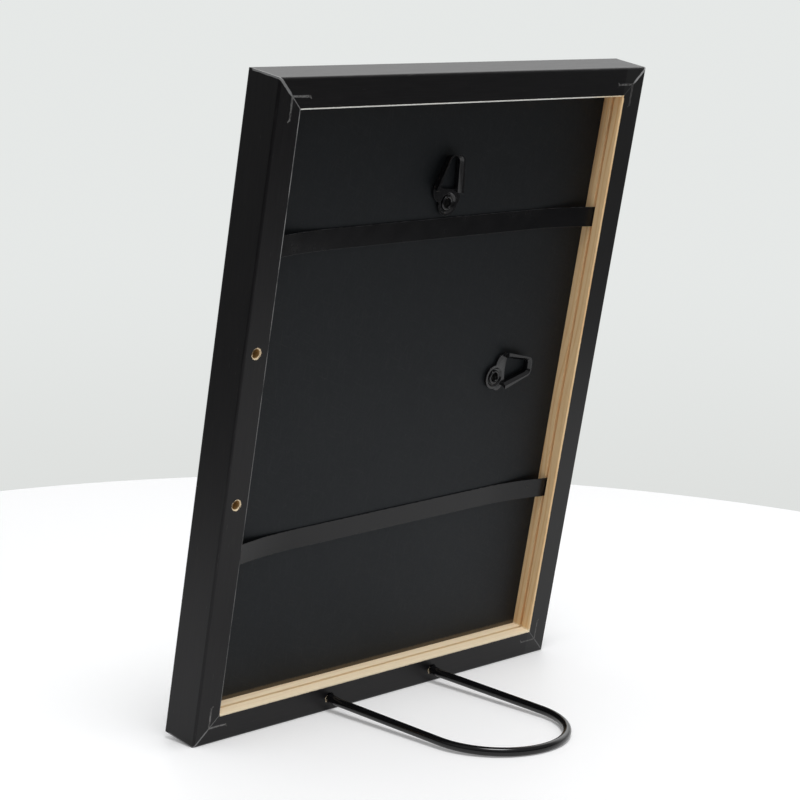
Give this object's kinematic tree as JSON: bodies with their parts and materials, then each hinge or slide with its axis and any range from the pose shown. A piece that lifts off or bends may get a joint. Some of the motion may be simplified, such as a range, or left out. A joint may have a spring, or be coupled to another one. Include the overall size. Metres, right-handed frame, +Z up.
{
  "type": "photo frame",
  "caption": "Leaning wooden photo frame with a plug-in wire stand, hanging loops and a backing board held by spring strips.",
  "frame": {"origin": "on the table, under the middle of the standing frame and its wire stand", "axes": "+Z up, picture side towards -Y, stand towards +Y, left and right as seen from the picture side"},
  "size_m": [0.204, 0.1124, 0.2627],
  "materials": {
    "black_wood": "black film on pine, satin",
    "nail_steel": "bare steel",
    "clear_glass": "polished",
    "insert_paper": "matt",
    "black_hardboard": "black hardboard, matt",
    "black_spring_steel": "black, satin",
    "black_stamped_steel": "black, satin",
    "black_wire": "black coat, glossy"
  },
  "bodies": {
    "frame": {"top_rail": "black_wood", "bottom_rail": "black_wood", "left_rail": "black_wood", "right_rail": "black_wood", "corner_nail_top_left": "nail_steel", "corner_nail_top_right": "nail_steel", "corner_nail_bottom_left": "nail_steel", "corner_nail_bottom_right": "nail_steel", "glass_pane": "clear_glass", "insert_sheet": "insert_paper", "backing_board": "black_hardboard", "portrait_eyelet": "black_stamped_steel", "landscape_eyelet": "black_stamped_steel"},
    "stand": {"wire_stand": "black_wire"},
    "portrait_hanger": {"portrait_hanger": "black_stamped_steel"},
    "landscape_hanger": {"landscape_hanger": "black_stamped_steel"},
    "upper_strip": {"upper_spring_strip": "black_spring_steel"},
    "lower_strip": {"lower_spring_strip": "black_spring_steel"}
  },
  "joints": [
    {"name": "stand_slide", "type": "slide", "parent": "frame", "child": "stand", "axis": [0, 0.9848, -0.1736], "range_m": [0, 0.014]},
    {"name": "portrait_hanger_swivel", "type": "hinge", "parent": "frame", "child": "portrait_hanger", "pos_m": [-0.0035, -0.01165, 0.20815], "axis": [0, 0.9848, -0.1736], "range_deg": [-60, 60]},
    {"name": "landscape_hanger_swivel", "type": "hinge", "parent": "frame", "child": "landscape_hanger", "pos_m": [-0.0487, -0.02509, 0.13193], "axis": [0, 0.9848, -0.1736], "continuous": true},
    {"name": "upper_strip_slide", "type": "slide", "parent": "frame", "child": "upper_strip", "axis": [0, 0.1736, 0.9848], "range_m": [-0.04, 0]},
    {"name": "lower_strip_slide", "type": "slide", "parent": "frame", "child": "lower_strip", "axis": [0, 0.1736, 0.9848], "range_m": [-0.045, 0.025]}
  ]
}
